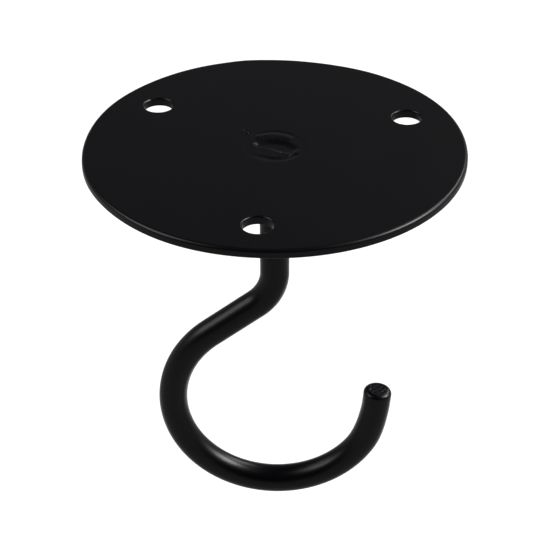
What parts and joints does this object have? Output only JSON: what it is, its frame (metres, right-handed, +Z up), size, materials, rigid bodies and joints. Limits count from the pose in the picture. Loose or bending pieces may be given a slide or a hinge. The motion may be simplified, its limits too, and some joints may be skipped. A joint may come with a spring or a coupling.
{
  "type": "hanging basket bracket",
  "caption": "Round steel ceiling plate with screw holes near its rim and a bent round-bar hook welded under its middle, for hanging a plant basket from a ceiling.",
  "frame": {"origin": "middle of the plate's upper face, which lies against the ceiling", "axes": "+Z points up into the ceiling; the bar is bent in the XZ plane, with its tip on the +X side"},
  "size_m": [0.0764, 0.0764, 0.088],
  "materials": {
    "black_coat": "black satin powder coat on mild steel"
  },
  "bodies": {
    "root": {"ceiling_plate": "black_coat", "hook_bar": "black_coat", "plug_weld": "black_coat"}
  },
  "joints": []
}
